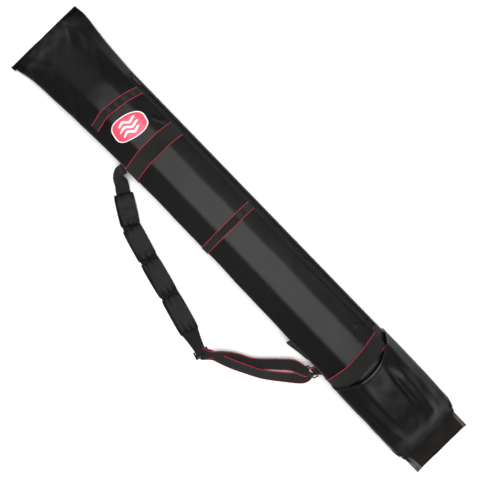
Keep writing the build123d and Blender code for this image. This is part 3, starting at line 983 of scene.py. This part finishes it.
def build_strap():
    line = pad_line()
    low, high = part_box("strap_anchor")
    anchor_x, anchor_z = (low.x + high.x) / 2, (low.z + high.z) / 2
    start = line[0]
    neck = [
        (anchor_x - 0.005, high.y - 4 * MM, anchor_z + 5 * MM, 4),
        (anchor_x - 0.008, low.y + 6 * MM, anchor_z + 3 * MM, 10),
        (anchor_x - 0.010, -0.122, 0.035, 16),
        (anchor_x - 0.002, -0.135, 0.022, 10),
        (anchor_x + 0.013, -0.1455, 0.0115, 4),
        (start[0] - 0.004, start[1] + 0.003, 0.0075, 0),
        (start[0] + 0.012, start[1] - 0.003, 0.0075, 0),
    ]
    width = ((0, 0.14, 0.30, 0.50, 1.0), (0.9, 0.95, 1.05, 1.18, 1.2))
    upper, edges = webbing("strap_upper", neck, WEB_WIDTH, narrow=width)
    bpy.data.objects.remove(edges)
    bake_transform(upper)
    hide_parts("strap_web_upper", "strap_anchor")

    backing = [(*p, 1.2 * MM, 0) for p in line]
    pad_width = pad_frame("shoulder_pad_1")[4]
    path = smooth_path(backing)
    centre, across, _ = ribbon_frame(path)
    length = np.concatenate([[0], np.cumsum(np.linalg.norm(np.diff(centre, axis=0), axis=1))])
    t = np.linspace(-1, 1, 11)[None, :, None]
    middle = centre[:, None] + across[:, None] * (pad_width / 2 - 3 * MM) * t
    where = np.stack(np.broadcast_arrays(length[:, None], pad_width / 2 * t[..., 0]), axis=2)
    up = np.array([0, 0, 0.8 * MM])
    under_pads = thick_sheet("pad_underside", middle + up, middle - up, PAD, where)
    dress(under_pads, "strap", "webbing", "pad_backing")

    glide_low, glide_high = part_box("tri_glide")
    glide = np.array([(glide_low.x + glide_high.x) / 2, (glide_low.y + glide_high.y) / 2])
    last = line[-1]
    toward = (glide - last) / np.linalg.norm(glide - last)
    lead_points = [
        (*(last - toward * 0.016), 6.0 * MM, 0),
        (*(last + toward * 0.006), 6.5 * MM, 0),
        (*(last + toward * 0.032), 5.6 * MM, 0),
        (*(glide - toward * 0.010), 4.6 * MM, 0),
        (*(glide + toward * 0.006), 9.4 * MM, 0),
    ]
    taper = ((0, 0.2, 0.75, 0.9, 1.0), (1.55, 1.45, 0.85, 1.0, 1.0))
    lead, edges = webbing("strap_lead", lead_points, WEB_WIDTH, PAD, 4.5 * MM, taper)
    bpy.data.objects.remove(edges)
    dress(lead, "strap", "webbing", "strap_web_lower")
    build_ring_runs(glide)


def build_ring_runs(glide):
    """The two plies between the slide buckle and the ring, one over the other."""
    ring_low, ring_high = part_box("strap_ring")
    bar_x = (ring_low.x + ring_high.x) / 2
    bar = np.array([bar_x, ring_low.y + 2 * MM, ring_low.z + 2 * MM])
    outer_points = [
        (glide[0] + 0.002, glide[1] + 0.000, 8.6 * MM, 0),
        (glide[0] + 0.020, glide[1] + 0.016, 9.0 * MM, 30),
        (0.205, -0.292, 14 * MM, 38),
        (0.243, -0.265, 15 * MM, 30),
        (0.2935, -0.238, 15 * MM, 20),
        (0.350, -0.184, 18 * MM, 10),
        (0.382, -0.152, 27 * MM, 4),
        (bar[0] - 0.016, bar[1] - 0.007, bar[2] + 1.5 * MM, 0),
        (bar[0] - 0.003, bar[1] + 0.001, bar[2] + 4.4 * MM, 0),
    ]
    narrow = ((0, 0.05, 0.14, 0.3, 0.75, 1.0), (1.0, 1.0, 0.8, 1.0, 1.0, 0.72))
    outer, outer_edges = webbing("strap_outer_run", outer_points, WEB_WIDTH, narrow=narrow)
    dress(outer, "strap", "webbing", "strap_web_outer")
    dress(outer_edges, "strap", "red_trim")
    inner_points = [
        (glide[0] + 0.000, glide[1] - 0.002, 2.2 * MM, 0),
        (glide[0] + 0.030, glide[1] + 0.020, 3.0 * MM, 10),
        (0.235, -0.297, 8.0 * MM, 22),
        (0.283, -0.274, 9.0 * MM, 26),
        (0.340, -0.243, 9.0 * MM, 26),
        (0.392, -0.202, 9.0 * MM, 22),
        (0.432, -0.162, 16 * MM, 12),
        (bar[0] + 0.004, bar[1] - 0.006, bar[2] - 5.0 * MM, 0),
        (bar[0], bar[1] + 0.004, bar[2] - 1.0 * MM, 0),
    ]
    inner, inner_edges = webbing("strap_inner_run", inner_points, WEB_WIDTH, narrow=narrow)
    dress(inner, "strap", "webbing", "strap_web_inner")
    dress(inner_edges, "strap", "red_trim")


def build_tabs():
    """The ring's tab and the small loop on the strap-side edge."""
    low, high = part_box("ring_tab")
    centre_x, z = (low.x + high.x) / 2, (low.z + high.z) / 2
    y = low.y + 3.8 * MM
    tab_points = [
        (centre_x + 0.026, high.y + 0.010, z + 7 * MM, 0),
        (centre_x + 0.014, high.y + 0.001, z + 5.2 * MM, 0),
        (centre_x + 0.004, y + 0.004, z + 3.9 * MM, 0),
        (centre_x + 0.001, y - 0.0015, z + 3.3 * MM, 0),
        (centre_x, y - 0.0040, z, 0),
        (centre_x + 0.001, y - 0.0015, z - 3.3 * MM, 0),
        (centre_x + 0.004, y + 0.004, z - 3.9 * MM, 0),
        (centre_x + 0.012, high.y - 0.001, z - 4.0 * MM, 0),
    ]
    tab, edges = webbing("ring_tab_web", tab_points, 25 * MM, thickness=1.2 * MM)
    dress(tab, "case", "webbing", "ring_tab")
    dress(edges, "case", "red_trim")
    low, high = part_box("side_loop")
    t, w = np.linspace(0, 1, 40)[:, None], np.linspace(0, 1, 12)[None]
    x = low.x - 0.001 + 0.084 * t + 0.004 * (1 - w)
    edge = body.at(x[:, 0], body.marks[3] + 1.0)
    reach = np.interp(t, (0, 0.08, 0.45, 1.0), (12, 15, 9, 2.5)) * MM
    y = edge[:, 1][:, None] + 2 * MM - (reach + 2 * MM) * w
    z = edge[:, 2][:, None] + 2.5 * MM - 3 * MM * w + 0.8 * MM * np.sin(7 * t + 3 * w)
    outer = np.stack([x, y, z], axis=2)[:, ::-1]
    under = outer - np.array([0, 0, 1.8 * MM])
    loop = thick_sheet("side_loop_web", outer, under, OLIVE, outer[..., :2])
    dress(loop, "case", "webbing", "side_loop")


# ---------------------------------------------------------------- CAD pieces that show

def finish_cad_nodes():
    finishes = {
        "zip_tape_front": TAPE, "zip_tape_back": TAPE, "zip_top_stop": BLACK_METAL,
        "zip_bottom_stop": BLACK_METAL, "zip_slider": BLACK_METAL, "zip_pull": BLACK_METAL,
        "strap_ring": BLACK_METAL, "tri_glide": BUCKLE, "front_foam": FOAM, "back_foam": FOAM,
        "tip_pad": FOAM, "butt_pad": FOAM, "front_lining": LINING, "back_lining": LINING,
        "rod_tie_upper": WEBBING, "rod_tie_lower": WEBBING,
    }
    for name, material in finishes.items():
        mesh = nodes[name].data
        if not mesh.materials:
            mesh.materials.append(material)
        for k in range(len(mesh.materials)):
            mesh.materials[k] = material


# ---------------------------------------------------------------- camera, light and floor

def build_stage():
    bpy.ops.mesh.primitive_plane_add(size=14)
    floor = bpy.context.object
    floor.name = "floor"
    floor.data.materials.append(shader("floor_white", (0.97, 0.97, 0.97), 0.95, 0.05)[0])

    world = bpy.data.worlds.new("studio")
    bpy.context.scene.world = world
    world.use_nodes = True
    world.node_tree.nodes["Background"].inputs["Color"].default_value = (1, 1, 1, 1)
    world.node_tree.nodes["Background"].inputs["Strength"].default_value = 0.05

    def area(name, place, size, power, aim=(0, 0, -1)):
        light = bpy.data.lights.new(name, "AREA")
        light.shape = "RECTANGLE"
        light.size, light.size_y = size
        light.energy = power
        made = bpy.data.objects.new(name, light)
        bpy.context.scene.collection.objects.link(made)
        made.location = place
        if aim != (0, 0, -1):
            made.rotation_euler = Vector(aim).to_track_quat("-Z", "Y").to_euler()

    area("overhead", (0.2, 0.1, 2.6), (4.0, 1.7), 120)
    area("fill_tip", (-3.4, 0.0, 1.6), (1.2, 1.5), 6, aim=(3.4, 0, -1.6))
    area("fill_strap_side", (-0.2, -2.3, 1.5), (2.4, 1.4), 8, aim=(0, 2.3, -1.5))
    area("fill_zip_side", (-0.1, 2.3, 1.2), (2.4, 1.4), 8, aim=(0, -2.3, -1.2))


def build_camera():
    """Straight above the case, which runs from the picture's top left to its bottom right."""
    height, roll = 1.25, 45.9
    across_view = 1.464         # what the picture takes in at the case's middle height
    camera = bpy.data.cameras.new("camera")
    camera.sensor_width = 36
    camera.lens = 36 * (height - 0.05) / across_view
    made = bpy.data.objects.new("camera", camera)
    bpy.context.scene.collection.objects.link(made)
    made.location = (-0.014, 0.0, height)
    made.rotation_euler = (0, 0, math.radians(roll))
    bpy.context.scene.camera = made


build_camera()
build_stage()
build_panels()
build_bands()
build_badge()
build_pocket()
build_tip()
build_end_foam()
build_base()
build_zip_teeth()
build_stitching()
build_pads()
build_strap()
build_tabs()
finish_cad_nodes()
bpy.context.scene.view_settings.view_transform = "Standard"
